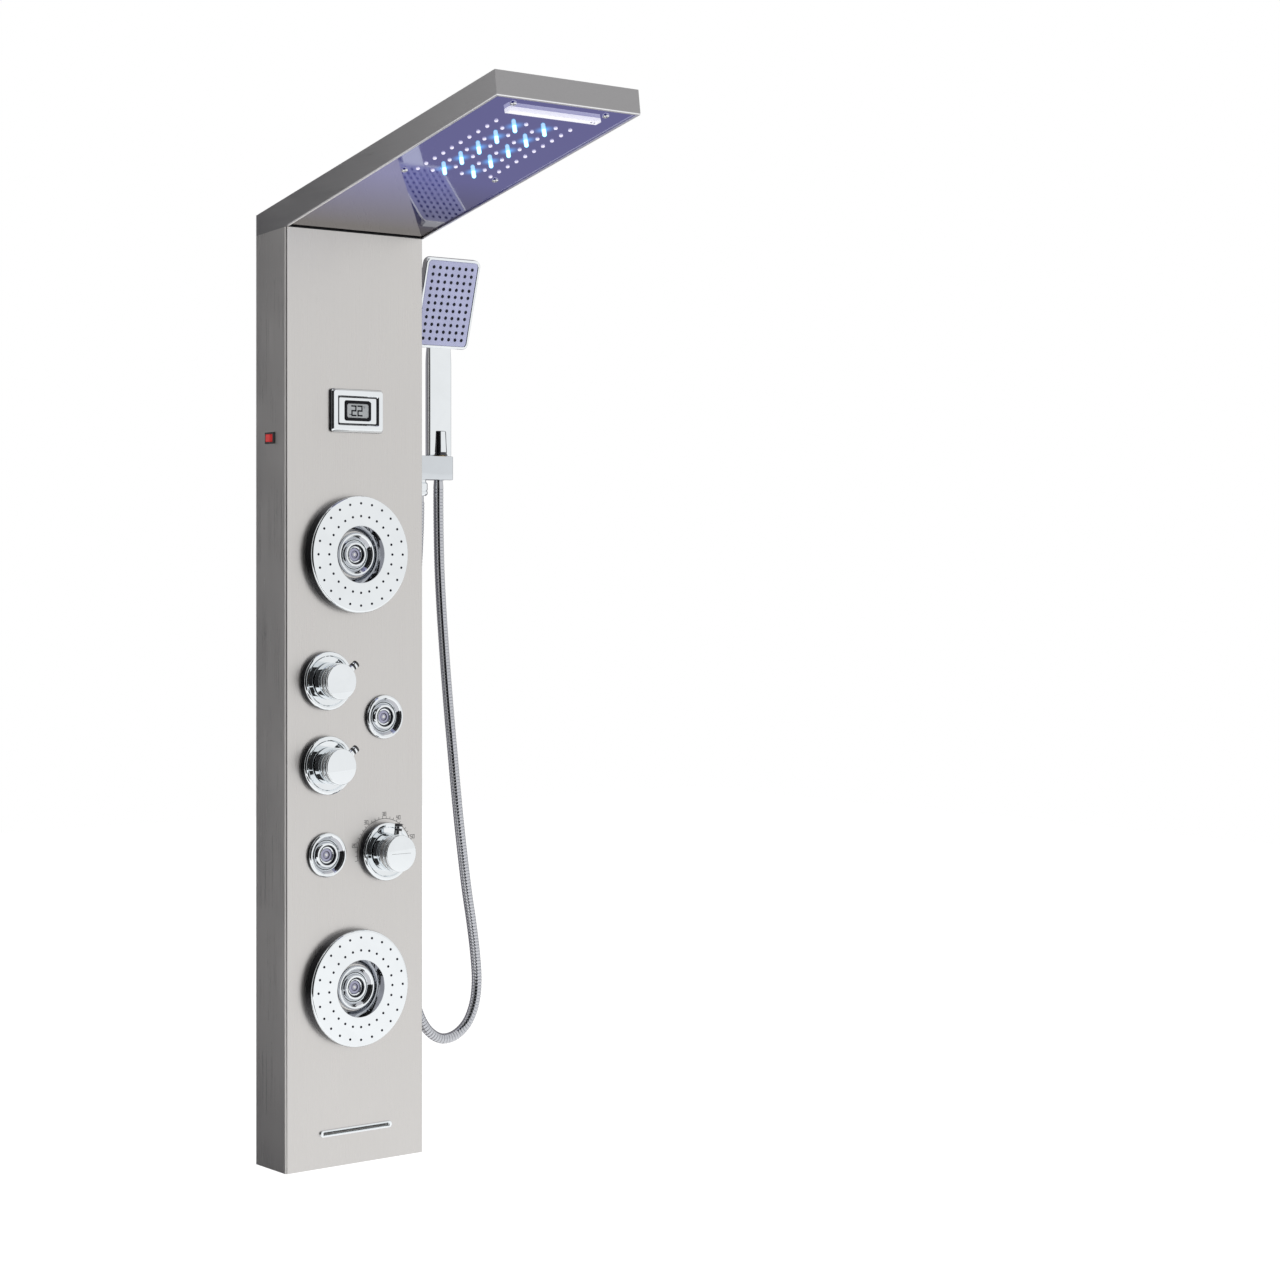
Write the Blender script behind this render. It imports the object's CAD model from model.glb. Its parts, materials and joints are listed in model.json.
import json
import math

import bmesh
import bpy
from mathutils import Matrix, Vector


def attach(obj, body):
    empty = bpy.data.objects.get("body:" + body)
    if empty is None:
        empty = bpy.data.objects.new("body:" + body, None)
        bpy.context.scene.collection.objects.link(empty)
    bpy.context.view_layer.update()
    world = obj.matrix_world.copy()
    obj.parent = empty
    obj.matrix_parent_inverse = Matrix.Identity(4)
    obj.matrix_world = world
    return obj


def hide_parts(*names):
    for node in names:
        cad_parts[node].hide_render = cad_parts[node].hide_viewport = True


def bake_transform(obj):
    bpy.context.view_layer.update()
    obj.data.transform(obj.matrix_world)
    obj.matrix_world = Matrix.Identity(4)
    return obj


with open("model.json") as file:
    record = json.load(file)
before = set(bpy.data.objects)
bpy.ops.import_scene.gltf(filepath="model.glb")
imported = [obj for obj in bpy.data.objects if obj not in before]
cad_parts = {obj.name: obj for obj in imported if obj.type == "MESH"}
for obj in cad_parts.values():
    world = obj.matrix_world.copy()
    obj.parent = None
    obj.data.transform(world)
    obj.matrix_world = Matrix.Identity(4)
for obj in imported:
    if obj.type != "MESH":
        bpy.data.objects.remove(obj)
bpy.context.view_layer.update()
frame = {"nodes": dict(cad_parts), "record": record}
nodes = frame["nodes"]
slotOf = {s["node"]: s["material_slot"] for s in frame["record"]["subparts"]}
collection = bpy.context.scene.collection
print("frame loaded:", len(nodes), "CAD nodes")

mm = 0.001

# Shared by several pieces: places in millimetres, and the slope of the hood in radians
panel = {"front": -72.0, "top": 616.0, "slope": math.atan2(105, 448)}

camera = {
    "place": (-1.9459, -2.8954, 0.1717),
    "yaw": 36.618,  # degrees to the right of +Y
    "lens": 72.75,
    "sensor": 36.0,
    "shiftX": 0.15,
    "shiftY": -0.056,
}


def addCamera(c):
    data = bpy.data.cameras.new("camera")
    data.lens = c["lens"]
    data.sensor_width = c["sensor"]
    data.shift_x = c["shiftX"]
    data.shift_y = c["shiftY"]
    data.clip_end = 60
    obj = bpy.data.objects.new("camera", data)
    obj.location = c["place"]
    obj.rotation_euler = (math.radians(90), 0, math.radians(-c["yaw"]))
    collection.objects.link(obj)
    bpy.context.scene.camera = obj


addCamera(camera)


# Node helpers: values are set by socket name, or linked when they are sockets
def addNode(tree, kind, values=None, **settings):
    node = tree.nodes.new(kind)
    for name, value in settings.items():
        setattr(node, name, value)
    for name, value in (values or {}).items():
        if isinstance(value, bpy.types.NodeSocket):
            tree.links.new(value, node.inputs[name])
        else:
            node.inputs[name].default_value = value
    return node


def mathNode(tree, operation, a, b=0.0):
    return addNode(tree, "ShaderNodeMath", {0: a, 1: b}, operation=operation).outputs[0]


def mapRange(tree, value, fromMin, fromMax, toMin, toMax):
    return addNode(tree, "ShaderNodeMapRange", {
        "Value": value, "From Min": fromMin, "From Max": fromMax, "To Min": toMin, "To Max": toMax,
    }).outputs["Result"]


def mixColour(tree, share, a, b):
    node = addNode(tree, "ShaderNodeMix", data_type="RGBA")
    for index, value in ((0, share), (6, a), (7, b)):
        if isinstance(value, bpy.types.NodeSocket):
            tree.links.new(value, node.inputs[index])
        else:
            node.inputs[index].default_value = value
    return node.outputs[2]


def newGroup(name, inputs, outputs):
    group = bpy.data.node_groups.new(name, "ShaderNodeTree")
    for label, kind, value in inputs:
        socket = group.interface.new_socket(label, in_out="INPUT", socket_type=kind)
        socket.default_value = value
    for label, kind in outputs:
        group.interface.new_socket(label, in_out="OUTPUT", socket_type=kind)
    return group, addNode(group, "NodeGroupInput"), addNode(group, "NodeGroupOutput")


# Brushed grain: fine streaks, and soft clouds that vary over a hand's width
def makeGrain():
    tree, inside, out = newGroup("brushed grain", [
        ("Scale", "NodeSocketVector", (900, 900, 9)), ("Cloud Size", "NodeSocketFloat", 5.0),
    ], [("Streak", "NodeSocketFloat"), ("Cloud", "NodeSocketFloat")])
    where = addNode(tree, "ShaderNodeTexCoord").outputs["Object"]
    stretched = addNode(tree, "ShaderNodeMapping", {"Vector": where, "Scale": inside.outputs["Scale"]})
    streak = addNode(tree, "ShaderNodeTexNoise", {
        "Vector": stretched.outputs["Vector"], "Scale": 1.0, "Detail": 4.0, "Roughness": 0.65})
    cloud = addNode(tree, "ShaderNodeTexNoise", {
        "Vector": where, "Scale": inside.outputs["Cloud Size"], "Detail": 3.0, "Roughness": 0.5})
    tree.links.new(mapRange(tree, streak.outputs["Fac"], 0.3, 0.7, 0.0, 1.0), out.inputs["Streak"])
    tree.links.new(mapRange(tree, cloud.outputs["Fac"], 0.3, 0.7, 0.0, 1.0), out.inputs["Cloud"])
    return tree


# Handling marks: broad smears, and small dried drops
def makeMarks():
    tree, inside, out = newGroup("handling marks", [
        ("Smear Size", "NodeSocketFloat", 14.0), ("Drop Size", "NodeSocketFloat", 160.0),
    ], [("Smear", "NodeSocketFloat"), ("Drops", "NodeSocketFloat")])
    where = addNode(tree, "ShaderNodeTexCoord").outputs["Object"]
    smear = addNode(tree, "ShaderNodeTexNoise", {
        "Vector": where, "Scale": inside.outputs["Smear Size"], "Detail": 5.0, "Roughness": 0.6,
        "Distortion": 0.6})
    drops = addNode(tree, "ShaderNodeTexVoronoi", {"Vector": where, "Scale": inside.outputs["Drop Size"]})
    tree.links.new(mapRange(tree, smear.outputs["Fac"], 0.42, 0.72, 0.0, 1.0), out.inputs["Smear"])
    tree.links.new(mapRange(tree, drops.outputs["Distance"], 0.18, 0.1, 0.0, 1.0), out.inputs["Drops"])
    return tree


# Moulded skin: the faint orange peel of plastic and rubber
def makeSkin():
    tree, inside, out = newGroup("moulded skin", [
        ("Size", "NodeSocketFloat", 700.0),
    ], [("Height", "NodeSocketFloat"), ("Tone", "NodeSocketFloat")])
    where = addNode(tree, "ShaderNodeTexCoord").outputs["Object"]
    peel = addNode(tree, "ShaderNodeTexNoise", {
        "Vector": where, "Scale": inside.outputs["Size"], "Detail": 2.0, "Roughness": 0.5})
    tone = addNode(tree, "ShaderNodeTexNoise", {"Vector": where, "Scale": 30.0, "Detail": 3.0})
    tree.links.new(peel.outputs["Fac"], out.inputs["Height"])
    tree.links.new(mapRange(tree, tone.outputs["Fac"], 0.3, 0.7, 0.0, 1.0), out.inputs["Tone"])
    return tree


grain, marks, skin = makeGrain(), makeMarks(), makeSkin()


def placeGroup(tree, group, values):
    node = addNode(tree, "ShaderNodeGroup")
    node.node_tree = group
    for name, value in values.items():
        node.inputs[name].default_value = value
    return node.outputs


def startMaterial(name, colour, values):
    material = bpy.data.materials.new(name)
    material.use_nodes = True
    material.diffuse_color = (*colour, 1)
    tree = material.node_tree
    shader = tree.nodes["Principled BSDF"]
    for socket, value in values.items():
        shader.inputs[socket].default_value = value
    return material, tree, shader


def shade(colour, factor):
    return (*[min(1.0, c * factor) for c in colour], 1)


def addBump(tree, shader, height, strength, distance):
    bump = addNode(tree, "ShaderNodeBump", {"Strength": strength, "Distance": distance, "Height": height})
    tree.links.new(bump.outputs["Normal"], shader.inputs["Normal"])


def brushedMetal(name, colour, scale, roughness, contrast=0.05, bump=0.00002):
    material, tree, shader = startMaterial(name, colour, {"Metallic": 1.0})
    g = placeGroup(tree, grain, {"Scale": scale, "Cloud Size": 4.0})
    m = placeGroup(tree, marks, {"Smear Size": 9.0, "Drop Size": 90.0})
    share = mathNode(tree, "ADD", mathNode(tree, "MULTIPLY", g["Streak"], 0.7),
                     mathNode(tree, "MULTIPLY", g["Cloud"], 0.3))
    tree.links.new(mixColour(tree, share, shade(colour, 1 - contrast), shade(colour, 1 + contrast)),
                   shader.inputs["Base Color"])
    rough = mathNode(tree, "ADD", mapRange(tree, g["Streak"], 0, 1, roughness - 0.05, roughness + 0.05),
                     mathNode(tree, "MULTIPLY", m["Smear"], 0.03))
    tree.links.new(rough, shader.inputs["Roughness"])
    addBump(tree, shader, g["Streak"], 0.12, bump)
    return material


def polishedMetal(name, colour, roughness):
    material, tree, shader = startMaterial(name, colour, {"Metallic": 1.0})
    m = placeGroup(tree, marks, {"Smear Size": 25.0, "Drop Size": 260.0})
    tree.links.new(mixColour(tree, m["Smear"], shade(colour, 1.0), shade(colour, 0.96)),
                   shader.inputs["Base Color"])
    rough = mathNode(tree, "ADD", mapRange(tree, m["Smear"], 0, 1, roughness, roughness + 0.02),
                     mathNode(tree, "MULTIPLY", m["Drops"], 0.015))
    tree.links.new(rough, shader.inputs["Roughness"])
    return material


def mouldedPlastic(name, colour, roughness, size=700.0, bump=0.00002, values=None):
    material, tree, shader = startMaterial(name, colour, values or {})
    s = placeGroup(tree, skin, {"Size": size})
    m = placeGroup(tree, marks, {"Smear Size": 30.0, "Drop Size": 300.0})
    tree.links.new(mixColour(tree, s["Tone"], shade(colour, 0.94), shade(colour, 1.05)),
                   shader.inputs["Base Color"])
    tree.links.new(mapRange(tree, m["Smear"], 0, 1, roughness, roughness + 0.08), shader.inputs["Roughness"])
    addBump(tree, shader, s["Height"], 0.2, bump)
    return material


# The hood's mirror plate is tinted by the lamps: violet in the rain field, grey by the column.
# The fade, up the slope, and the halo, round each lamp, are where they start and are full, in metres.
lampField = {
    "x": 22.8, "middle": 307.1, "step": 36.4, "rows": 5,
    "fade": (0.02, 0.20), "halo": (0.016, 0.002), "roughness": (0.04, 0.08),
    "glow": (0.08, 0.38, 1.0, 1), "spill": (0.016, 0.016, 0.155, 1),
}


def mirrorPlate(name, grey, violet):
    f = lampField
    step = f["step"] * mm
    material, tree, shader = startMaterial(name, violet, {"Metallic": 1.0, "Emission Strength": 1.0})
    where = addNode(tree, "ShaderNodeTexCoord").outputs["Object"]
    split = addNode(tree, "ShaderNodeSeparateXYZ", {"Vector": where})
    out = mathNode(tree, "MULTIPLY", mathNode(tree, "ADD", split.outputs["Y"], -panel["front"] * mm), -1.0)
    up = mathNode(tree, "DIVIDE", out, math.cos(panel["slope"]))
    m = placeGroup(tree, marks, {"Smear Size": 12.0, "Drop Size": 120.0})
    share = mapRange(tree, up, *f["fade"], 0.0, 1.0)
    tree.links.new(mixColour(tree, share, (*grey, 1), (*violet, 1)), shader.inputs["Base Color"])
    tree.links.new(mapRange(tree, m["Smear"], 0, 1, *f["roughness"]), shader.inputs["Roughness"])
    across = mathNode(tree, "SUBTRACT", mathNode(tree, "ABSOLUTE", split.outputs["X"]), f["x"] * mm)
    along = mathNode(tree, "SUBTRACT", up, f["middle"] * mm - step * f["rows"] / 2)
    cell = mathNode(tree, "FRACT", mathNode(tree, "DIVIDE", along, step))
    near = mathNode(tree, "MULTIPLY", mathNode(tree, "SUBTRACT", cell, 0.5), step)
    distance = mathNode(tree, "SQRT", mathNode(tree, "ADD", mathNode(tree, "POWER", across, 2.0),
                                               mathNode(tree, "POWER", near, 2.0)))
    halo = mathNode(tree, "POWER", mapRange(tree, distance, *f["halo"], 0.0, 1.0), 2.0)
    inField = mathNode(tree, "MULTIPLY", mathNode(tree, "GREATER_THAN", along, 0.0),
                       mathNode(tree, "LESS_THAN", along, step * f["rows"]))
    spill = mixColour(tree, share, (0, 0, 0, 1), f["spill"])
    lit = mixColour(tree, mathNode(tree, "MULTIPLY", halo, inField), spill, f["glow"])
    tree.links.new(lit, shader.inputs["Emission Color"])
    return material


# A lit lens: white where it faces out, blue at its rim
def lampLens(name, colour):
    material, tree, shader = startMaterial(name, colour, {"Roughness": 0.2, "Emission Strength": 1.5})
    where = addNode(tree, "ShaderNodeTexCoord").outputs["Object"]
    sparkle = addNode(tree, "ShaderNodeTexNoise", {"Vector": where, "Scale": 400.0})
    rim = addNode(tree, "ShaderNodeLayerWeight", {"Blend": 0.5}).outputs["Facing"]
    glint = mathNode(tree, "MULTIPLY", sparkle.outputs["Fac"], 0.3)
    share = mapRange(tree, mathNode(tree, "ADD", rim, glint), 0.35, 0.85, 0.0, 1.0)
    tree.links.new(mixColour(tree, share, (0.78, 1.0, 1.0, 1), shade(colour, 0.9)),
                   shader.inputs["Emission Color"])
    tree.links.new(mixColour(tree, sparkle.outputs["Fac"], shade(colour, 0.9), shade(colour, 1.1)),
                   shader.inputs["Base Color"])
    return material


# Where the hood's fold is bright: its height over the seam and its run past the front, in metres
foldedEdge = {"height": (0.0018, 0.0008), "run": (-0.002, -0.006), "colour": (0.92, 0.92, 0.93, 1)}


# Brushed steel whose folded lower edge is rubbed bright
def hoodSteel(name, colour, scale, roughness):
    material = brushedMetal(name, colour, scale, roughness)
    tree = material.node_tree
    shader = tree.nodes["Principled BSDF"]
    grainColour = shader.inputs["Base Color"].links[0].from_socket
    where = addNode(tree, "ShaderNodeTexCoord").outputs["Object"]
    split = addNode(tree, "ShaderNodeSeparateXYZ", {"Vector": where})
    rise = mathNode(tree, "SUBTRACT", split.outputs["Z"], panel["top"] * mm)
    run = mathNode(tree, "ADD", split.outputs["Y"], -panel["front"] * mm)
    height = mathNode(tree, "ADD", mathNode(tree, "MULTIPLY", rise, math.cos(panel["slope"])),
                      mathNode(tree, "MULTIPLY", run, math.sin(panel["slope"])))
    edge = mapRange(tree, height, *foldedEdge["height"], 0.0, 1.0)
    inFront = mapRange(tree, run, *foldedEdge["run"], 0.0, 1.0)
    share = mathNode(tree, "MULTIPLY", edge, inFront)
    tree.links.new(mixColour(tree, share, grainColour, foldedEdge["colour"]), shader.inputs["Base Color"])
    return material


# Pale satin metal, which the lamps beside it light up
def satinBlade(name, colour):
    material, tree, shader = startMaterial(name, colour, {
        "Metallic": 0.1, "Emission Color": (0.9, 0.9, 1.0, 1), "Emission Strength": 0.38})
    g = placeGroup(tree, grain, {"Scale": (9, 700, 700), "Cloud Size": 6.0})
    tree.links.new(mixColour(tree, g["Streak"], shade(colour, 0.95), shade(colour, 1.03)),
                   shader.inputs["Base Color"])
    tree.links.new(mapRange(tree, g["Cloud"], 0, 1, 0.22, 0.34), shader.inputs["Roughness"])
    return material


finishes = {
    "panel_steel": brushedMetal("panel steel", (0.60, 0.585, 0.57), (1100, 1100, 7), 0.30, 0.035),
    "hood_steel": hoodSteel("hood steel", (0.32, 0.315, 0.32), (900, 9, 900), 0.32),
    "mirror_steel": mirrorPlate("mirror plate", (0.18, 0.165, 0.16), (0.30, 0.30, 0.33)),
    "chrome": polishedMetal("chrome", (0.79, 0.82, 0.84), 0.03),
    "zinc": brushedMetal("zinc", (0.52, 0.53, 0.55), (300, 300, 120), 0.42),
    "zinc_screw": polishedMetal("screw chrome", (0.72, 0.73, 0.75), 0.14),
    "brass": brushedMetal("brass", (0.66, 0.47, 0.20), (260, 260, 260), 0.36),
    "copper": brushedMetal("copper", (0.72, 0.38, 0.24), (240, 240, 60), 0.34),
    "black_plastic": mouldedPlastic("black plastic", (0.022, 0.022, 0.025), 0.42),
    "black_glass": mouldedPlastic("black window", (0.012, 0.012, 0.014), 0.08, 200.0, 0.000004,
                                  {"Coat Weight": 0.6}),
    "white_plastic": mouldedPlastic("white plastic", (0.80, 0.80, 0.79), 0.28),
    "grey_rubber": mouldedPlastic("grey rubber", (0.012, 0.013, 0.022), 0.6, 500.0, 0.00004,
                                  {"Specular IOR Level": 0.2}),
    "clear_rubber": mouldedPlastic("pale rubber", (0.72, 0.70, 0.78), 0.35, 500.0, 0.00003,
                                   {"Subsurface Weight": 0.2, "Subsurface Radius": (0.002, 0.002, 0.002),
                                    "Emission Color": (0.86, 0.82, 1.0, 1), "Emission Strength": 0.5}),
    "satin_chrome": polishedMetal("satin chrome", (0.62, 0.65, 0.68), 0.10),
    "smoked_chrome": polishedMetal("smoked chrome", (0.46, 0.47, 0.50), 0.05),
    "dark_chrome": polishedMetal("shaded chrome", (0.07, 0.072, 0.08), 0.12),
    "lamp": lampLens("lamp lens", (0.10, 0.62, 1.0)),
    "board_green": mouldedPlastic("circuit board", (0.02, 0.10, 0.05), 0.40),
    "face_plastic": mouldedPlastic("hand shower face", (0.50, 0.52, 0.75), 0.24),
    "red_plastic": mouldedPlastic("red key", (0.55, 0.02, 0.02), 0.22),
    "hose_metal": polishedMetal("hose metal", (0.52, 0.53, 0.56), 0.07),
}


# Nodes whose finish differs a little from others of their slot
special = {"waterfall_spout": satinBlade("waterfall blade", (0.92, 0.92, 0.95))}


def dressNodes():
    for name, obj in nodes.items():
        if obj.type != "MESH":
            continue
        obj.data.materials.clear()
        obj.data.materials.append(special.get(name) or finishes[slotOf[name]])


dressNodes()
print("materials set:", len(finishes))


def newPiece(name, bm, slot, body="panel", material=None, smoothAngle=35):
    bmesh.ops.recalc_face_normals(bm, faces=bm.faces)
    mesh = bpy.data.meshes.new(name)
    bm.to_mesh(mesh)
    bm.free()
    obj = bpy.data.objects.new(name, mesh)
    collection.objects.link(obj)
    mesh.materials.append(material or finishes[slot])
    mesh.shade_smooth()
    mesh.set_sharp_from_angle(angle=math.radians(smoothAngle))
    if body:
        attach(obj, body)
    return obj


# A corner list (across, out, radius) with its corners rounded, as plain points
def filleted(corners, steps=5):
    points = []
    for i, (x, y, radius) in enumerate(corners):
        corner = Vector((x, y))
        if not radius:
            points.append(corner)
            continue
        a = (Vector(corners[i - 1][:2]) - corner).normalized()
        b = (Vector(corners[(i + 1) % len(corners)][:2]) - corner).normalized()
        half = a.angle(b) / 2
        middle = corner + (a + b).normalized() * radius / math.sin(half)
        start, end = (corner + v * radius / math.tan(half) - middle for v in (a, b))
        points += [middle + start.lerp(end, k / steps).normalized() * radius for k in range(steps + 1)]
    return points


# Turns a closed profile about the axis; points on the axis become one vertex
def turned(bm, corners, place, sides):
    rings = []
    for r, w in filleted(corners):
        if r < 1e-6:
            rings.append([bm.verts.new(place @ Vector((0, 0, w)))])
        else:
            rings.append([bm.verts.new(place @ Vector((r * math.cos(t), r * math.sin(t), w)))
                          for t in [2 * math.pi * k / sides for k in range(sides)]])
    for a, b in zip(rings, rings[1:] + rings[:1]):
        for k in range(sides):
            m = (k + 1) % sides
            if len(a) > 1 and len(b) > 1:
                bm.faces.new((a[k], a[m], b[m], b[k]))
            elif len(a) > 1:
                bm.faces.new((a[k], a[m], b[0]))
            elif len(b) > 1:
                bm.faces.new((a[0], b[m], b[k]))


# One piece made of one profile turned about its place's axis
def turnedPiece(name, profile, place, sides, slot, body="panel", material=None):
    bm = bmesh.new()
    turned(bm, profile, place, sides)
    return newPiece(name, bm, slot, body, material)


def roundRect(width, height, radius, steps=6):
    points = []
    for sx, sy, start in ((1, 1, 0), (-1, 1, 90), (-1, -1, 180), (1, -1, 270)):
        for k in range(steps + 1):
            t = math.radians(start + 90 * k / steps)
            points.append(Vector((sx * (width / 2 - radius) + radius * math.cos(t),
                                  sy * (height / 2 - radius) + radius * math.sin(t))))
    return points


# Joins loops of equal length; a closed stack joins its last loop to its first
def loft(bm, loops, closed=False):
    rings = [[bm.verts.new(v) for v in loop] for loop in loops]
    pairs = list(zip(rings, rings[1:])) + ([(rings[-1], rings[0])] if closed else [])
    for a, b in pairs:
        for k in range(len(a)):
            m = (k + 1) % len(a)
            bm.faces.new((a[k], a[m], b[m], b[k]))
    if not closed:
        bm.faces.new(rings[0])
        bm.faces.new(rings[-1])


# A stack of rounded rectangles (width, height, radius, out) in one place
def slab(bm, layers, place, closed=False, steps=6):
    loft(bm, [[place @ Vector((*p, w)) for p in roundRect(a, b, r, steps)] for a, b, r, w in layers], closed)


millimetres = Matrix.Scale(mm, 4)


# Local x to the right, y up and z out of the front
def frontPlace(x, z):
    where = Vector((x, panel["front"], z)) * mm
    return Matrix.Translation(where) @ Matrix.Rotation(math.pi / 2, 4, "X") @ millimetres


# Local x to the right, y up the slope of the hood and z out of its underside
def slopePlace(x, u):
    c, s = math.cos(panel["slope"]), math.sin(panel["slope"])
    turn = Matrix(((1, 0, 0, 0), (0, -c, -s, 0), (0, s, -c, 0), (0, 0, 0, 1)))
    where = Vector((x, panel["front"] - u * c, panel["top"] + u * s)) * mm
    return Matrix.Translation(where) @ turn @ millimetres


hose = {
    "diameter": 14.0,
    "ribPitch": 4.4,
    "ribDepth": 0.8,
    "ribShape": ((0.0, 1.0), (0.12, 0.12), (0.5, 0.0), (0.88, 0.12)),  # shares of the pitch and of the depth
    "sides": 20,
    "sharp": 28,
    "bore": 5.0,
    "boreRings": 60,
    "routeSteps": 14,
    # millimetres, from the outlet nut down, round the loop and up to the cone nut
    "route": [
        (130, -36, 270.75), (130, -36, 250), (129.5, -35, 215), (128, -33, 165),
        (126, -31, 105), (124, -30, 35), (122, -29, -40), (120.5, -28, -115),
        (119.5, -28, -190), (119, -28, -260), (119, -29, -325), (121, -30, -380),
        (128, -31, -425), (143, -33, -457), (166, -34, -474), (190, -35, -473),
        (211, -36, -458), (224, -36, -433), (228.5, -36, -402), (226, -36, -365),
        (219.5, -36, -320), (211.5, -36, -275), (204.5, -36, -228), (198, -36, -180),
        (192, -36, -130), (186.5, -36, -80), (181, -36, -30), (176, -36, 20),
        (171.5, -36, 70), (167.5, -36, 120), (164.5, -36, 170), (163, -36, 220),
        (162.5, -36, 258), (162.5, -36, 275), (162.5, -36, 292.75),
    ],
}


# A smooth curve through points, with the running length at each step
def smoothRoute(points, steps):
    p = [Vector(v) for v in points]
    curve = []
    for i in range(len(p) - 1):
        a, b, c, d = p[max(i - 1, 0)], p[i], p[i + 1], p[min(i + 2, len(p) - 1)]
        for k in range(steps):
            f = k / steps
            curve.append(0.5 * (2 * b + (c - a) * f + (2 * a - 5 * b + 4 * c - d) * f ** 2
                                + (3 * b - a - 3 * c + d) * f ** 3))
    curve.append(p[-1])
    lengths = [0.0]
    for a, b in zip(curve, curve[1:]):
        lengths.append(lengths[-1] + (b - a).length)
    return curve, lengths


def routePoint(curve, lengths, s):
    lo, hi = 0, len(lengths) - 1
    while hi - lo > 1:
        mid = (lo + hi) // 2
        lo, hi = (mid, hi) if lengths[mid] <= s else (lo, mid)
    share = (s - lengths[lo]) / (lengths[lo + 1] - lengths[lo])
    way = (curve[min(lo + 2, len(curve) - 1)] - curve[max(lo - 1, 0)]).normalized()
    return curve[lo].lerp(curve[lo + 1], share), way


def makeHose(h):
    curve, lengths = smoothRoute(h["route"], h["routeSteps"])
    whole = lengths[-1]
    bm = bmesh.new()
    rings = []

    def addRing(s, r):
        middle, way = routePoint(curve, lengths, min(s, whole - 1e-6))
        across = Vector((0, 1, 0)).cross(way).normalized()
        up = way.cross(across)
        rings.append([bm.verts.new((middle + r * (across * math.cos(a) + up * math.sin(a))) * mm)
                      for a in [2 * math.pi * (k + 0.5) / h["sides"] for k in range(h["sides"])]])

    r = h["diameter"] / 2
    addRing(0, h["bore"])
    addRing(0, r - h["ribDepth"])
    count = int((whole - h["diameter"]) / h["ribPitch"])
    first = (whole - count * h["ribPitch"]) / 2
    for k in range(count):
        s = first + k * h["ribPitch"]
        for share, depth in h["ribShape"]:
            addRing(s + share * h["ribPitch"], r - depth * h["ribDepth"])
    addRing(whole, r - h["ribDepth"])
    addRing(whole, h["bore"])
    n = h["sides"]
    for a, b in zip(rings, rings[1:]):
        for k in range(n):
            bm.faces.new((a[k], a[(k + 1) % n], b[(k + 1) % n], b[k]))
    inner = [rings[-1]]
    for k in range(h["boreRings"] - 1, 0, -1):
        addRing((whole - 1e-6) * k / h["boreRings"], h["bore"])
        inner.append(rings[-1])
    inner.append(rings[0])
    for a, b in zip(inner, inner[1:]):
        for k in range(n):
            bm.faces.new((a[k], a[(k + 1) % n], b[(k + 1) % n], b[k]))
    piece = newPiece("hose", bm, "hose_metal", None, smoothAngle=h["sharp"])
    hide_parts("shower_hose")
    # the drop and the loop stay, and the rise stretches a little as the hand shower is lifted
    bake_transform(piece)


makeHose(hose)
print("hose made")

valves = {
    "upper": {"place": (-48, 24), "radius": 23.5, "out": 38, "angle": 36, "body": "upper_handle"},
    "lower": {"place": (-48, -87), "radius": 23.5, "out": 38, "angle": 36, "body": "lower_handle"},
    "mixer": {"place": (46, -206), "radius": 24.2, "out": 40, "angle": 84, "body": "mixer_handle"},
}
# Depths are measured from the front, and roundings are radii
knob = {
    "foot": 9.8, "footEdge": 0.8, "groove": 0.8, "grooveAt": 7, "grooveWide": 0.9, "grooveEdge": 0.3,
    "bodyEdge": 0.5, "capFrom": 1.2, "capEdge": 0.4, "edge": 1.5, "sides": 96,
}
# The band and the cap are lengths back from the tip
pin = {
    "radius": 5.2, "reach": 39, "back": 12, "sunk": 0.6, "cap": 3.6, "band": (6.4, 9.4), "neck": 0.9,
    "bandSkin": (1.0, 0.25), "edge": 0.3, "softEdge": 0.2, "capSlim": 0.1, "capGap": 0.02, "capEdge": 1.0,
    "sides": 40,
}
flange = {
    "radius": 38.5, "bore": 19, "height": 9.5, "rim": 5, "dish": 1.5, "lip": (2.2, 1.2),
    "lipEdge": (1.6, 1.2), "rimEdge": 0.8, "sides": 112,
}
skirt = {"inside": 0.05, "outside": 0.12, "lift": 0.03, "edge": 0.06, "belowFlange": 2, "sides": 112}


# The shaded side wall of a round chrome piece, a thin sleeve
def makeSkirt(name, place, radius, height):
    inner, outer = radius - skirt["inside"], radius + skirt["outside"]
    turnedPiece(name, [(inner, skirt["lift"], 0), (outer, skirt["lift"], 0), (outer, height, skirt["edge"]),
                       (inner, height, 0)], place, skirt["sides"], "chrome", "panel", finishes["dark_chrome"])


def makeKnob(name, v, place):
    k, r, out = knob, v["radius"], v["out"]
    wide, slim, deep = r + k["groove"], r - k["groove"], out - k["grooveAt"]
    piece = turnedPiece(name + "Knob", [
        (0, k["foot"], 0), (wide, k["foot"], k["footEdge"]), (wide, deep, k["bodyEdge"]),
        (slim, deep, k["grooveEdge"]), (slim, deep + k["grooveWide"], k["grooveEdge"]),
        (r, deep + k["capFrom"], k["capEdge"]), (r, out, k["edge"]), (0, out, 0),
    ], place, k["sides"], "chrome", v["body"])
    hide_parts(name + "_knob")


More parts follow.
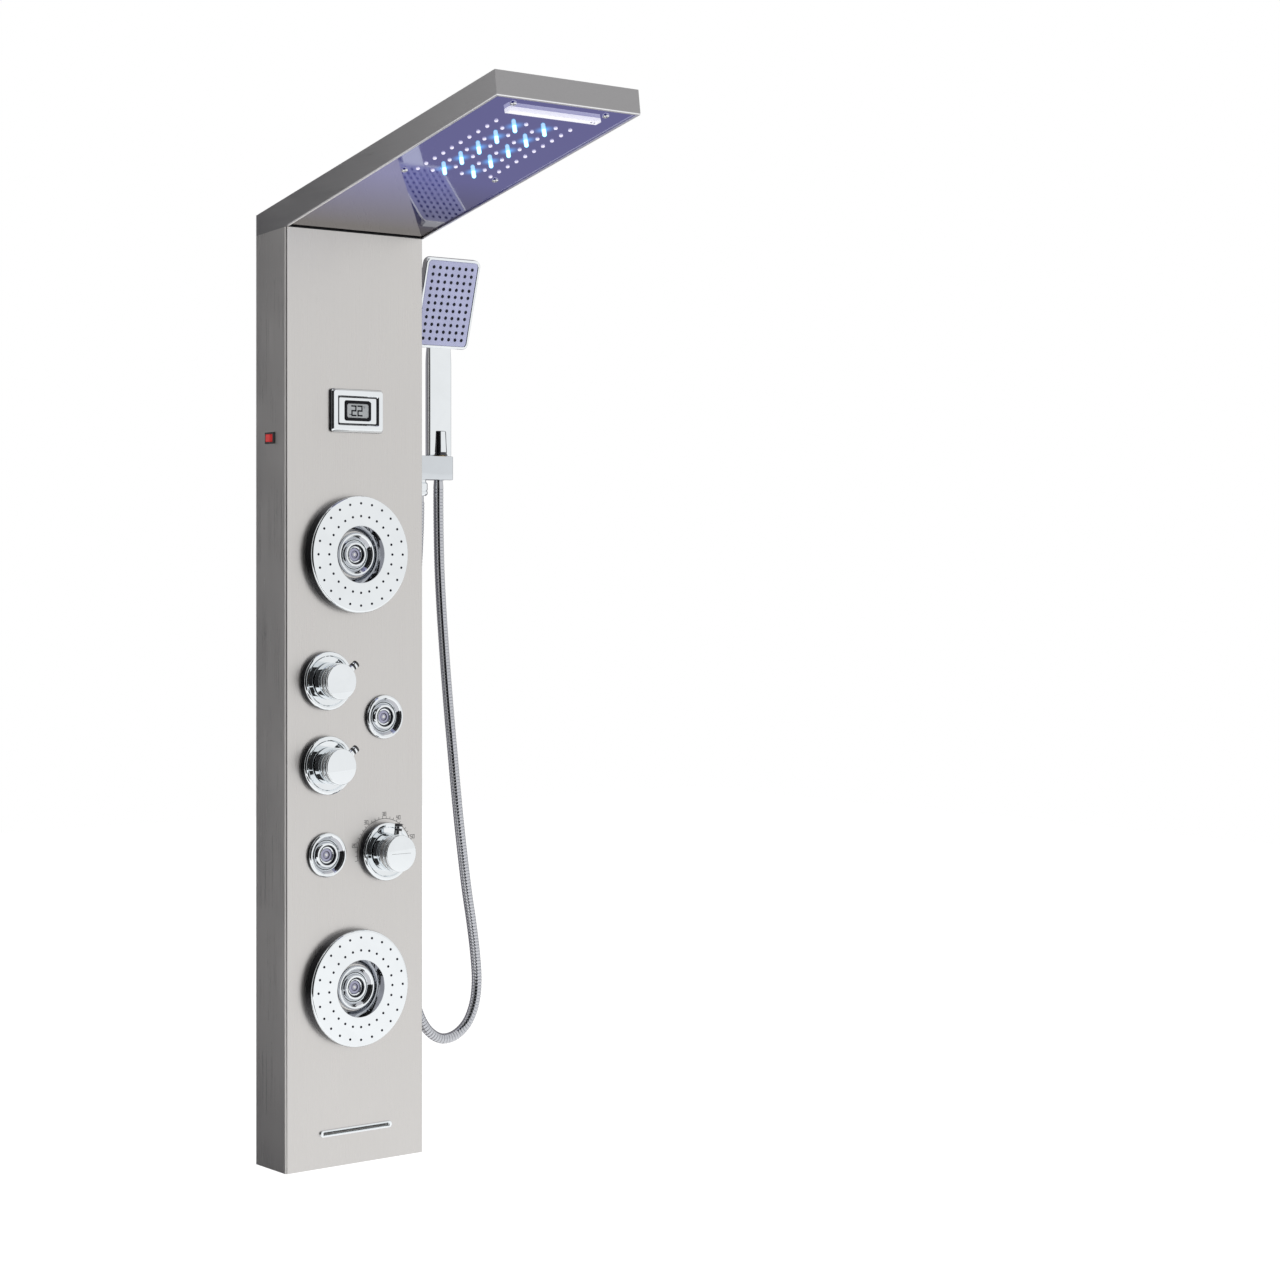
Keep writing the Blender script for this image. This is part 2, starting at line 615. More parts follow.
# The pin stands on the knob's side, with a dark band and a dark cap
def makePin(name, v, place):
    p, q, tip = pin, pin["radius"], pin["reach"]
    turn = Matrix.Rotation(math.radians(v["angle"]), 4, "Z") @ Matrix.Rotation(math.pi / 2, 4, "Y")
    spoke = place @ Matrix.Translation((0, 0, v["out"] - p["back"])) @ turn
    foot, capFoot = v["radius"] + knob["groove"] - p["sunk"], tip - p["cap"]
    near, far = (tip - back for back in p["band"])
    piece = turnedPiece(name + "Pin", [
        (0, foot, 0), (q, foot, 0), (q, far, p["edge"]), (q - p["neck"], far, 0), (q - p["neck"], near, 0),
        (q, near, p["edge"]), (q, capFoot, p["softEdge"]), (0, capFoot, 0),
    ], spoke, p["sides"], "chrome", v["body"])
    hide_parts(name + "_knob_pin")
    inner, outer = (q - skin for skin in p["bandSkin"])
    wide, low = q - p["capSlim"], capFoot + p["capGap"]
    bm = bmesh.new()
    turned(bm, [(inner, far, 0), (outer, far, p["softEdge"]), (outer, near, p["softEdge"]), (inner, near, 0)],
           spoke, p["sides"])
    turned(bm, [(0, low, 0), (wide, low, 0), (wide, tip, p["capEdge"]), (0, tip, 0)], spoke, p["sides"])
    newPiece(name + "PinBands", bm, "black_plastic", v["body"])


def makeFlange(name, place):
    f = flange
    r, h, (lipIn, lipDown) = f["radius"], f["height"], f["lip"]
    rim, dish = r - f["rim"], h - f["dish"]
    piece = turnedPiece(name + "Flange", [
        (f["bore"], 0, 0), (r, 0, 0), (r, h - lipDown, f["lipEdge"][0]), (r - lipIn, h, f["lipEdge"][1]),
        (rim, h, f["rimEdge"]), (rim - f["dish"], dish, f["rimEdge"]), (f["bore"], dish, 0),
    ], place, f["sides"], "chrome")
    if name == "upper":
        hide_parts("diverter_flanges")
    if name == "mixer":
        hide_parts("mixer_flange")
    makeSkirt(name + "FlangeSkirt", place, r, h - skirt["belowFlange"])


def makeValves():
    for name, v in valves.items():
        place = frontPlace(*v["place"])
        makeKnob(name, v, place)
        makePin(name, v, place)
        makeFlange(name, place)


makeValves()

# Seven strokes of a digit, as (from, to) on a two by four grid
strokes = {
    "a": ((0, 4), (2, 4)), "b": ((2, 4), (2, 2)), "c": ((2, 2), (2, 0)), "d": ((0, 0), (2, 0)),
    "e": ((0, 2), (0, 0)), "f": ((0, 4), (0, 2)), "g": ((0, 2), (2, 2)),
}
lettering = {"step": 0.78, "grid": 4}  # shares of a digit's size
digits = {"0": "abcdef", "2": "abged", "3": "abgcd", "4": "fgbc", "5": "afgcd", "8": "abcdefg"}


def bar(bm, place, start, end, width, low, high):
    start, end = Vector(start), Vector(end)
    way = (end - start).normalized() * width / 2
    side = Vector((-way.y, way.x))
    outline = [start - way - side, end + way - side, end + way + side, start - way + side]
    loft(bm, [[place @ Vector((p.x, p.y, w)) for p in outline] for w in (low, high)])


def writeNumber(bm, place, text, size, stroke, low, high):
    cell = size / lettering["grid"]
    for i, letter in enumerate(text):
        shift = Vector(((i - (len(text) - 1) / 2) * size * lettering["step"] - cell, -size / 2))
        for name in digits[letter]:
            a, b = (shift + Vector(v) * cell for v in strokes[name])
            bar(bm, place, a, b, stroke, low, high)


# Angles in degrees from the right, lengths in millimetres
scale = {
    "radius": 43.5, "from": -14, "to": 193, "line": 0.6, "tick": 2.8, "tickGap": 0.3, "endTick": 1.6,
    "step": 7.4, "arcSteps": 70, "size": 4.8, "stroke": 0.65, "numberAt": 49.6, "ink": (0.01, 0.06),
    "numbers": {"20": 168, "30": 126, "38": 90, "40": 62, "50": 20},
    "mark": {"half": 15, "line": 0.35, "ink": (-0.01, 0.05)},
}


# Printed scale round the mixer knob, and a line on the knob: a thin coat of ink
def makeScale(c):
    place = frontPlace(*valves["mixer"]["place"])
    span = c["to"] - c["from"]

    def direction(degrees):
        return Vector((math.cos(math.radians(degrees)), math.sin(math.radians(degrees))))

    bm = bmesh.new()
    for k in range(c["arcSteps"]):
        a, b = (direction(c["from"] + span * (k + d) / c["arcSteps"]) * c["radius"] for d in (0, 1))
        bar(bm, place, a, b, c["line"], *c["ink"])
    count = int(span / c["step"])
    for k in range(count + 1):
        way = direction(c["from"] + k * span / count)
        far = c["tick"] * (c["endTick"] if k in (0, count) else 1)
        bar(bm, place, way * (c["radius"] + c["tickGap"]), way * (c["radius"] + far), c["line"], *c["ink"])
    for text, angle in c["numbers"].items():
        spot = place @ Matrix.Translation((direction(angle) * c["numberAt"]).to_3d())
        writeNumber(bm, spot, text, c["size"], c["stroke"], *c["ink"])
    newPiece("mixerScale", bm, "black_plastic", "panel", inkPrint)
    m = c["mark"]
    bm = bmesh.new()
    low, high = (valves["mixer"]["out"] + w for w in m["ink"])
    bar(bm, place, (-m["half"], 0), (m["half"], 0), m["line"], low, high)
    newPiece("mixerMark", bm, "black_plastic", "mixer_handle", inkPrint)


inkPrint = mouldedPlastic("ink", (0.04, 0.04, 0.045), 0.6, 900.0)
makeScale(scale)
print("valves made")

# Profiles are (radius, out, rounding) in millimetres, from the front
jets = {
    "places": {
        "upper_shower": (-2, 190), "right_jet": (45, -26.5), "left_jet": (-47, -205),
        "lower_shower": (-2, -383),
    },
    "trim": [(19.8, 0, 0), (29.2, 0, 0), (29.2, 4.4, 1.5), (27.6, 6, 0.9), (25.6, 6, 0.7), (24.4, 4.8, 0.4),
             (20.2, 0.6, 0.3)],
    "dish": [(24.2, 4.35, 0), (24.2, 4.75, 0.1), (20.6, 1.15, 0), (20.6, 0.75, 0)],
    "bowl": [(30.8, 0.1, 0), (37.6, 15.2, 0.1), (37.95, 15.3, 0), (31.05, 0.1, 0)],
    "showerSkirt": (77.5, 12.2), "trimSkirt": (29.2, 2.8),
    "ballRadius": 22.5, "ballBack": 12, "rim": 15.8, "out": 4, "arcSteps": 16,
    "recess": 13.2, "recessEdges": (0.6, 0.5), "floor": -3.0,
    "shade": [(0, -2.98, 0), (13.1, -2.98, 0), (13.1, -2.5, 0), (0, -2.5, 0)],
    "ring": [(8.9, -3.0, 0), (11.0, -3.0, 0), (11.0, 1.4, 0.4), (10.2, 2.0, 0.4), (8.9, 1.2, 0.4)],
    "disc": [(0, -3.0, 0), (8.5, -3.0, 0), (8.5, -0.2, 0.5), (5.2, 0.6, 0.4), (4.6, -0.6, 0.3), (0, -0.6, 0)],
    "line": [(4.2, -0.7, 0), (5.1, -0.7, 0), (5.1, 0.74, 0.1), (4.7, 0.74, 0.1), (4.2, -0.5, 0)],
    "centre": [(0, -2.0, 0), (2.1, -2.0, 0), (2.1, 0.6, 0.8), (0.7, 0.9, 0.2), (0.5, 0.5, 0), (0, 0.5, 0)],
    "sides": {"trim": 96, "bowl": 112, "ball": 80, "eye": 64},
}


# The ball of a jet eye: a sphere cut behind, with a round recess in its flat front
def ballProfile(j):
    r, back = j["ballRadius"], j["ballBack"]
    centre = j["out"] - math.sqrt(r ** 2 - j["rim"] ** 2)
    first, last = math.atan2(j["out"] - centre, j["rim"]), -math.asin(back / r)
    turns = [first + (last - first) * k / j["arcSteps"] for k in range(j["arcSteps"] + 1)]
    return [(0, j["floor"], 0), (j["recess"], j["floor"], j["recessEdges"][0]),
            (j["recess"], j["out"], j["recessEdges"][1]),
            *[(r * math.cos(t), centre + r * math.sin(t), 0) for t in turns], (0, centre - back, 0)]


def makeJets(j):
    eyeDark = mouldedPlastic("eye shade", (0.03, 0.03, 0.04), 0.3)
    discFinish = mouldedPlastic("jet disc", (0.40, 0.40, 0.54), 0.25)
    smoked, sides = finishes["smoked_chrome"], j["sides"]
    trims = bmesh.new()
    for name, spot in j["places"].items():
        place = frontPlace(*spot)
        turned(trims, j["trim"], place, sides["trim"])
        turnedPiece(name + "Dish", j["dish"], place, sides["trim"], "chrome", "panel", smoked)
        makeSkirt(name + "Skirt", place, *j["showerSkirt" if "shower" in name else "trimSkirt"])
        if "shower" in name:
            turnedPiece(name + "Bowl", j["bowl"], place, sides["bowl"], "chrome", "panel", smoked)
        body = name + "_eye"
        piece = turnedPiece(name + "Ball", ballProfile(j), place, sides["ball"], "chrome", body)
        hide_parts(name + "_ball")
        for part, slotName, finish in (
            ("shade", "grey_rubber", eyeDark), ("ring", "chrome", None), ("disc", "grey_rubber", discFinish),
            ("line", "grey_rubber", eyeDark), ("centre", "white_plastic", None),
        ):
            turnedPiece(name + part.capitalize(), j[part], place, sides["eye"], slotName, body, finish)
    piece = newPiece("jetTrims", trims, "chrome")
    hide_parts("jet_trims")


makeJets(jets)
print("jets made")

# Layers are (width, height, corner, out) in millimetres, from the front
display = {
    "z": 380,
    "bezel": [(83, 57, 4, 0), (83, 57, 4, 3.2), (82.2, 56.2, 3.8, 4.4), (78.2, 52.2, 3, 6.8),
              (77, 51, 2.8, 7), (66, 40, 2.2, 7), (65, 39, 2, 6.6), (63, 37, 1.8, 5.0), (43, 27, 3.2, 5.0),
              (42, 26, 3, 4.6), (42, 26, 3, 0)],
    "frame": [(41.9, 25.9, 5, 2.0), (41.9, 25.9, 5, 5.6), (41.1, 25.1, 4.8, 6.0), (35.4, 19.4, 3.4, 6.0),
              (34.8, 18.8, 3.2, 5.6), (34.8, 18.8, 3.2, 2.0)],
    "groove": [(62.8, 36.8, 1.8, 4.9), (62.8, 36.8, 1.8, 5.2), (59.6, 33.6, 1.6, 5.2),
               (59.6, 33.6, 1.6, 4.9)],
    "glass": [(34.7, 18.7, 3.2, 2.2), (34.7, 18.7, 3.2, 5.0), (34.3, 18.3, 3.1, 5.1)],
    "skirt": [(83.3, 57.3, 4, 0.02), (83.3, 57.3, 4, 3.0), (82.9, 56.9, 4, 3.02), (82.9, 56.9, 4, 0.02)],
    "sharp": 28, "text": "22", "textLeft": 1.5, "digitSize": 12.5, "stroke": 2.0, "ink": (5.05, 5.16),
    "degree": {"dots": [(9.4, 4.2), (11.0, 4.2), (9.4, 5.8), (11.0, 5.8)], "size": 0.5},
    "dash": ((-13.2, -5.0), (-10.6, -5.0), 0.9),
}


def makeDisplay(d):
    place = frontPlace(0, d["z"])
    lcd = mouldedPlastic("liquid crystal", (0.42, 0.44, 0.45), 0.3, 120.0, 0.000002)
    gasket = mouldedPlastic("window frame", (0.006, 0.006, 0.009), 0.5, 700.0, 0.00002,
                            {"Specular IOR Level": 0.15})
    segment = mouldedPlastic("lit segment", (0.012, 0.013, 0.018), 0.6, 700.0, 0.00002,
                             {"Specular IOR Level": 0.1})
    for name, slotName, finish in (
        ("bezel", "chrome", None), ("frame", "black_plastic", gasket), ("groove", "black_plastic", gasket),
        ("glass", "black_glass", lcd), ("skirt", "chrome", finishes["dark_chrome"]),
    ):
        bm = bmesh.new()
        slab(bm, d[name], place, name != "glass")
        piece = newPiece("display" + name.capitalize(), bm, slotName, "panel", finish, d["sharp"])
        if name == "bezel":
            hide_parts("display_frame")
        if name == "glass":
            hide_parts("display_window")
    bm = bmesh.new()
    left = place @ Matrix.Translation((-d["textLeft"], 0, 0))
    writeNumber(bm, left, d["text"], d["digitSize"], d["stroke"], *d["ink"])
    dot = d["degree"]["size"]
    for x, y in d["degree"]["dots"]:
        bar(bm, place, (x - dot, y), (x + dot, y), dot, *d["ink"])
    bar(bm, place, *d["dash"], *d["ink"])
    newPiece("displayDigits", bm, "black_glass", "panel", segment)


makeDisplay(display)

tubSpout = {
    "z": -571,
    "ring": [(115, 9, 4.4, 0), (115, 9, 4.4, 1.5), (114.4, 8.4, 4.1, 2.2), (113.4, 7.4, 3.6, 2.5),
             (106.6, 5.4, 1.2, 2.5), (105, 4.2, 0.9, 2.0), (104, 3.2, 0.4, 1.0), (104, 3.2, 0.4, -1.5),
             (107, 6.2, 0.4, -1.5), (107, 6.2, 0.4, 0)],
}


def makeTubSpout(t):
    bm = bmesh.new()
    slab(bm, t["ring"], frontPlace(0, t["z"]), True, 8)
    piece = newPiece("tubSpoutTrim", bm, "chrome")
    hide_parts("spout_trim")


makeTubSpout(tubSpout)
print("display and spout made")

# Head layers are (narrower, smaller corner, out), grip levels are (height, narrower, roundness)
handset = {
    "axis": (162.5, -36), "foot": 326.05, "head": (162.5, -42, 473), "tilt": 15,
    "width": 91, "height": 124, "corner": 9, "steps": 8, "sharp": 30,
    "shell": [(22, 0, -17), (20, 0, -16.7), (3, 0, -11.4), (0.6, 0, -9.8), (0, 0, -8), (0, 0, -1.6),
              (0.6, 0.3, -0.5), (1.8, 0.8, 0), (6.6, 3.2, 0), (7.6, 3.8, -0.5), (7.8, 3.9, -2.4)],
    "face": [(8.2, 4, -2.6), (8.2, 4, -0.7), (9.6, 4.6, -0.25)],
    "cols": 7, "rows": 11, "margin": 13, "nozzleSides": 18, "tailSides": 64,
    "nozzle": [(0, -2.2, 0), (2.45, -2.2, 0), (2.45, -0.15, 0.1), (2.1, 0, 0.1), (1.8, 0.75, 0.3),
               (0.5, 0.75, 0.1), (0.5, 0.1, 0), (0, 0.1, 0)],
    "handle": (39, 12),
    "grip": [(326.05, 1.6, 0.34), (326.55, 0.7, 0.42), (327.65, 0, 0.5), (391, 0, 0.5), (447, 0, 0.5),
             (451, 0, 0.5)],
    "bend": {"steps": 7, "up": 33, "behind": 11.4, "bow": 1.2, "narrower": 5, "thinner": 5.5, "round": 0.5,
             "sharp": 40},
    "tail": [(0, 0, 0), (12.5, 0, 0.6), (12.3, 2.6, 0.3), (11.7, 3.0, 0.2), (11.7, 4.2, 0.2),
             (12.1, 4.6, 0.3), (11.2, 18, 0), (10.6, 34, 1.4), (0, 34, 0)],
    # the ends are (height, half width, reach)
    "facet": {"thick": 1.2, "ends": [(4.9, 4.4, 12.2), (33.2, 3.6, 10.8)], "sharp": 20},
}


def makeHead(h):
    head = (Matrix.Translation(Vector(h["head"]) * mm) @ Matrix.Rotation(math.radians(90 + h["tilt"]), 4, "X")
            @ millimetres @ Matrix.Translation((0, h["height"] / 2, 0)))
    w, t, r = h["width"], h["height"], h["corner"]
    for name, part, slotName in (("Head", "shell", "chrome"), ("Face", "face", "face_plastic")):
        bm = bmesh.new()
        layers = [(w - less, t - less, r - round_, out) for less, round_, out in h[part]]
        slab(bm, layers, head, False, h["steps"])
        piece = newPiece("handset" + name, bm, slotName, "handset", None, h["sharp"])
        if name == "Face":
            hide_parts("handset_face")
    stepX = (w - 2 * h["margin"]) / (h["cols"] - 1)
    stepY = (t - 2 * h["margin"]) / (h["rows"] - 1)
    bm = bmesh.new()
    for i in range(h["cols"]):
        for j in range(h["rows"]):
            x, y = (i - (h["cols"] - 1) / 2) * stepX, (j - (h["rows"] - 1) / 2) * stepY
            turned(bm, h["nozzle"], head @ Matrix.Translation((x, y, 0)), h["nozzleSides"])
    piece = newPiece("handsetNozzles", bm, "grey_rubber", "handset")
    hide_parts("handset_nozzles")


# A flat bar that bends back into the head
def makeHandle(h):
    def section(width, depth, radius, middle, out):
        return [(middle + Vector((1, 0, 0)) * p.x * width / 2 + out * p.y * depth / 2) * mm
                for p in roundRect(2, 2, radius, 5)]

    x, y = h["axis"]
    width, depth = h["handle"]
    b, tilt, back = h["bend"], math.radians(h["tilt"]), Vector((0, 1, 0))
    upHead = Vector((0, -math.sin(tilt), math.cos(tilt)))
    behindHead = Vector((0, math.cos(tilt), math.sin(tilt)))
    loops = [section(width - less, depth - less, round_, Vector((x, y, z)), back)
             for z, less, round_ in h["grip"]]
    start = Vector((x, y, h["grip"][-1][0]))
    end = Vector(h["head"]) + upHead * b["up"] + behindHead * b["behind"]
    for k in range(1, b["steps"] + 1):
        f = k / b["steps"]
        ease = f * f * (3 - 2 * f)
        middle = start.lerp(end, f) + back * b["bow"] * math.sin(math.pi * f)
        out = back.lerp(behindHead, ease).normalized()
        size = (width - b["narrower"] * ease, depth - b["thinner"] * ease)
        loops.append(section(*size, b["round"], middle, out))
    bm = bmesh.new()
    loft(bm, loops)
    piece = newPiece("handsetHandle", bm, "chrome", "handset", None, b["sharp"])
    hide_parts("handset_body")


# The cone below the handle, with a bright flat on its front
def makeTail(h):
    x, y = h["axis"]
    place = Matrix.Translation(Vector((x, y, h["foot"])) * mm) @ millimetres
    turnedPiece("handsetTail", h["tail"], place, h["tailSides"], "chrome", "handset", finishes["dark_chrome"])
    f = h["facet"]
    bm = bmesh.new()
    loft(bm, [[Vector((x + side * half, y - out, h["foot"] + z)) * mm for side, out in (
        (-1, reach - f["thick"]), (1, reach - f["thick"]), (1, reach), (-1, reach))]
        for z, half, reach in f["ends"]])
    newPiece("handsetFacet", bm, "chrome", "handset", None, f["sharp"])


makeHead(handset)
makeHandle(handset)
makeTail(handset)

# Levels are (up from an end, inset, wider cradle)
holder = {
    "low": (110, -51, 292.75), "high": (178, -21, 325.25),
    "levels": [(0, 1.0, 0.3), (0.3, 0.35, 0.1), (1.0, 0, 0)],
    "cradle": (162.5, -36), "foot": 9.3, "top": 12.9, "slot": 15.6, "corner": 2.2, "arcSteps": 40,
    "sharp": 30,
}


# The block with a cone that opens through a slot at its free end
def makeHolder(h):
    x0, y0, z0 = h["low"]
    x1, y1, z1 = h["high"]
    cx, cy = h["cradle"]
    steps = h["arcSteps"]

    def level(z, inset, wider):
        radius = h["foot"] + (h["top"] - h["foot"]) * (z - z0) / (z1 - z0) + wider
        start = math.asin(h["slot"] / 2 / radius)
        turns = [start + (2 * math.pi - 2 * start) * k / steps for k in range(steps + 1)]
        hole = [(cx + radius * math.cos(t), cy + radius * math.sin(t)) for t in turns]
        half, corner, right = h["slot"] / 2 - inset, h["corner"], x1 - inset
        low, high = y0 + inset, y1 - inset
        outer = [(right, cy - half), (right, low + corner), (right - corner, low), (x0, low), (x0, high),
                 (right - corner, high), (right, high - corner), (right, cy + half)]
        return [Vector((px, py, z)) * mm for px, py in hole + outer]

    bm = bmesh.new()
    loft(bm, [level(z0 + up, inset, wider) for up, inset, wider in h["levels"]]
         + [level(z1 - up, inset, wider) for up, inset, wider in reversed(h["levels"])])
    piece = newPiece("holderBlock", bm, "chrome", "panel", finishes["satin_chrome"], h["sharp"])
    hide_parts("holder_block")


makeHolder(holder)

outletNut = {
    "place": (130, -36, 270.75), "sides": 48,
    "profile": [(5, 0, 0), (9.4, 0, 0.8), (11.5, 2.2, 0.6), (11.5, 5.6, 0.3), (10.9, 6.2, 0.2),
                (10.9, 7.2, 0.2), (11.5, 7.8, 0.3), (11.5, 16.6, 0.8), (10.4, 18, 0.4), (5, 18, 0)],
}


def makeOutletNut(n):
    place = Matrix.Translation(Vector(n["place"]) * mm) @ millimetres
    piece = turnedPiece("outletNut", n["profile"], place, n["sides"], "chrome")
    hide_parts("outlet_nut")


makeOutletNut(outletNut)
print("hand shower and holder made")

# Places under the hood are (across, up its slope) in millimetres
hoodDetail = {
    "seam": [(212, 9, 0.4, -4.0), (212, 9, 0.4, -2.0), (211.4, 8.4, 0.3, -1.8)], "seamMiddle": 1.5,
    "middle": 307.1, "cols": 6, "rows": 10, "stepX": 22.8, "stepU": 18.2,
    "tip": [(0, -4.5, 0), (3.2, -4.5, 0), (3.2, -3.5, 0), (2.5, -3.5, 0), (2.5, -2, 0), (2.3, -0.4, 1.3),
            (0.8, 0.1, 0.3), (0.7, -0.7, 0), (0, -0.7, 0)],
    "marks": [(58.5, 427.1), (63.5, 427.1)], "markHalf": (1.6, 1), "markOut": (2.9, 3.06),
    "screws": [(-71, 216.1), (71, 216.1), (-71, 441.1), (71, 441.1)],
    "screwHead": [(0, -2, 0), (4.2, -2, 0), (4.2, -0.8, 0.3), (3.2, 0.3, 0.8), (1.9, 0.5, 0.2),
                  (1.6, -0.6, 0.1), (0, -0.6, 0)],
    "shank": [(0, -9, 0), (2, -9, 0.4), (2, -2, 0), (0, -2, 0)],
    "nut": [(2.02, -9, 0), (4, -9, 0), (4, -6, 0), (2.02, -6, 0)],
    "sides": {"screwHead": 36, "shank": 24, "nut": 6, "tip": 24},
}


# A dark strip behind the gap between the front's top edge and the hood
def makeSeamStrip(h):
    bm = bmesh.new()
    slab(bm, h["seam"], frontPlace(0, panel["top"]) @ Matrix.Translation((0, -h["seamMiddle"], 0)))
    newPiece("seamStrip", bm, "black_plastic")


# Domed screws with a round recess and a nut, which hold the plate under the hood
def makeHoodScrews(h):
    bm = bmesh.new()
    for x, u in h["screws"]:
        place = slopePlace(x, u)
        for part in ("screwHead", "shank", "nut"):
            turned(bm, h[part], place, h["sides"][part])
    piece = newPiece("hoodScrews", bm, "zinc_screw")
    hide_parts("hood_screws")


# The nozzle tips stand on the plate in a staggered field, with the two outer columns full
def makeRainNozzles(h):
    bm = bmesh.new()
    far = h["middle"] + (h["rows"] - 1) / 2 * h["stepU"]
    for i in range(h["cols"]):
        for j in range(h["rows"]):
            if i in (0, h["cols"] - 1) or (i + j) % 2 == 0:
                x = (i - (h["cols"] - 1) / 2) * h["stepX"]
                turned(bm, h["tip"], slopePlace(x, far - j * h["stepU"]), h["sides"]["tip"])
    piece = newPiece("rainNozzles", bm, "clear_rubber")
    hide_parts("rain_nozzles")


# Two small dark marks at the right end of the waterfall blade
def makeBladeMarks(h):
    bm = bmesh.new()
    a, b = h["markHalf"]
    for spot in h["marks"]:
        place = slopePlace(*spot)
        loft(bm, [[place @ Vector((x, u, w)) for x, u in ((-a, -b), (a, -b), (a, b), (-a, b))]
                  for w in h["markOut"]])
    newPiece("bladeMarks", bm, "black_plastic")


makeSeamStrip(hoodDetail)
makeHoodScrews(hoodDetail)
makeRainNozzles(hoodDetail)
makeBladeMarks(hoodDetail)
print("hood details made")

# Lengths in metres, lamps in watts
studio = {
    "floor": -0.95,
    "size": 14.0,
    "lightLevel": 0.8,
    "floorGlow": 0.42,
    "lamps": {
        "leftSoftbox": {"place": (-1.2, -3.4, 1.3), "aim": (0, 0, 0.1), "size": 1.6, "energy": 16},
        "topSoftbox": {"place": (-0.8, -1.2, 2.8), "aim": (0, -0.1, 0.2), "size": 1.6, "energy": 14},
    },
    # cards stand in for the dark studio that the chrome and the hood's plate mirror
    "cards": {
        "cameraFlag": {"place": (-2.55, -1.54, 0.2), "aim": (-1.0, 0.66, 0.2), "size": (5.6, 5.6),
                       "tone": (0.004, 0.004, 0.005)},
        "backFlag": {"place": (-1.15, 1.9, 0.1), "aim": (1, 1.9, 0.1), "size": (1.8, 3.4),
                     "tone": (0.09, 0.09, 0.10)},
        "lowFlag": {"place": (-0.62, 1.0, -0.9), "aim": (-0.62, 1.0, 1), "size": (1.0, 1.9),
                    "tone": (0.05, 0.05, 0.06)},
        "topFlag": {"place": (-0.55, -1.0, 1.75), "aim": (0, 0, 0.1), "size": (1.3, 1.3),
                    "tone": (0.004, 0.004, 0.005)},
        "lowerStrip": {"place": (-1.0, -1.5, -0.9), "aim": (-1.0, -1.5, 1), "size": (2.4, 0.6),
                       "tone": (0.004, 0.004, 0.005)},
        "underCard": {"place": (0.8, 0.3, 0.1), "aim": (0.8, -1, 0.1), "size": (2.0, 1.9),
                      "glow": (0.31, 0.30, 0.32)},
    },
}


def plainMaterial(name, colour):
    return startMaterial(name, colour, {"Base Color": (*colour, 1), "Roughness": 0.8})[0]


# The floor is near white to the eye, and keeps the shadow
def floorMaterial():
    material, tree, shader = startMaterial("floor", (0.9, 0.9, 0.9), {
        "Base Color": (0.80, 0.80, 0.80, 1), "Roughness": 0.9, "Specular IOR Level": 0.0,
        "Emission Color": (1, 1, 1, 1)})
    path = addNode(tree, "ShaderNodeLightPath").outputs
    seen = mathNode(tree, "MAXIMUM", path["Is Camera Ray"], path["Is Glossy Ray"])
    tree.links.new(mathNode(tree, "MULTIPLY", seen, studio["floorGlow"]), shader.inputs["Emission Strength"])
    return material


def card(name, place, size, turn, material):
    bm = bmesh.new()
    bmesh.ops.create_grid(bm, x_segments=1, y_segments=1, size=0.5)
    bmesh.ops.scale(bm, verts=bm.verts, vec=(*size, 1))
    bmesh.ops.transform(bm, verts=bm.verts, matrix=Matrix.Translation(place) @ turn)
    mesh = bpy.data.meshes.new(name)
    bm.to_mesh(mesh)
    bm.free()
    obj = bpy.data.objects.new(name, mesh)
    collection.objects.link(obj)
    mesh.materials.append(material)
    return obj


# Cards show in reflections alone
def hide(obj):
    obj.visible_camera = False
    obj.visible_shadow = False
    obj.visible_diffuse = False


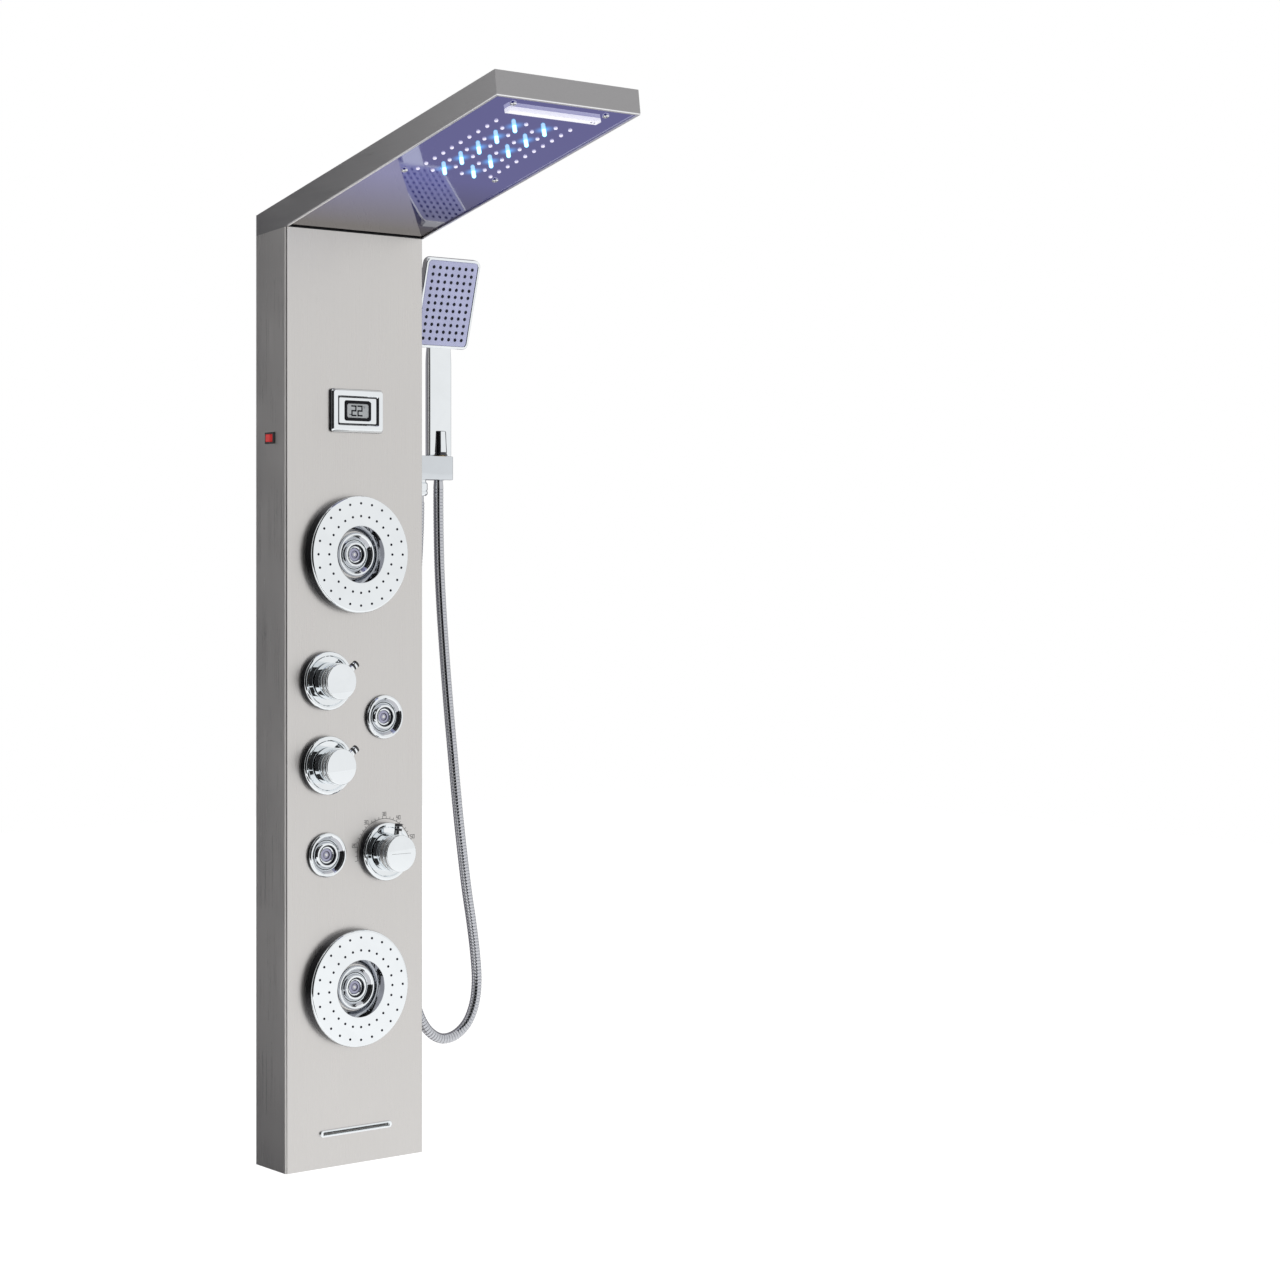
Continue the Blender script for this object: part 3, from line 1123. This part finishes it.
def glowMaterial(name, colour):
    return startMaterial(name, colour, {
        "Base Color": (0, 0, 0, 1), "Roughness": 1.0, "Specular IOR Level": 0.0,
        "Emission Color": (*colour, 1), "Emission Strength": 1.0})[0]


def makeStudio(s):
    flat = Matrix.Identity(4)
    card("floor", (0, 0, s["floor"]), (s["size"], s["size"]), flat, floorMaterial())
    for name, c in s["cards"].items():
        aim = (Vector(c["aim"]) - Vector(c["place"])).to_track_quat("Z", "Y").to_matrix().to_4x4()
        finish = glowMaterial(name, c["glow"]) if "glow" in c else plainMaterial(name, c["tone"])
        hide(card(name, c["place"], c["size"], aim, finish))
    for name, c in s["lamps"].items():
        data = bpy.data.lights.new(name, "AREA")
        data.energy = c["energy"]
        data.size = c["size"]
        lamp = bpy.data.objects.new(name, data)
        lamp.location = c["place"]
        lamp.rotation_euler = (Vector(c["aim"]) - Vector(c["place"])).to_track_quat("-Z", "Y").to_euler()
        lamp.visible_camera = False
        collection.objects.link(lamp)
    makeWorld(s)


# White to the camera and in reflections, a little dimmer as a light
def makeWorld(s):
    world = bpy.data.worlds.new("studio")
    world.use_nodes = True
    bpy.context.scene.world = world
    tree = world.node_tree
    tree.nodes.clear()
    path = addNode(tree, "ShaderNodeLightPath").outputs
    seen = mathNode(tree, "MAXIMUM", path["Is Camera Ray"],
                    mathNode(tree, "MAXIMUM", path["Is Glossy Ray"], path["Is Transmission Ray"]))
    light = addNode(tree, "ShaderNodeBackground", {"Color": (1, 1, 1, 1), "Strength": s["lightLevel"]})
    shown = addNode(tree, "ShaderNodeBackground", {"Color": (1, 1, 1, 1), "Strength": 1.0})
    both = addNode(tree, "ShaderNodeMixShader")
    tree.links.new(seen, both.inputs[0])
    tree.links.new(light.outputs[0], both.inputs[1])
    tree.links.new(shown.outputs[0], both.inputs[2])
    output = addNode(tree, "ShaderNodeOutputWorld")
    tree.links.new(both.outputs[0], output.inputs["Surface"])


makeStudio(studio)
bpy.context.scene.view_settings.view_transform = "Standard"
print("studio set")
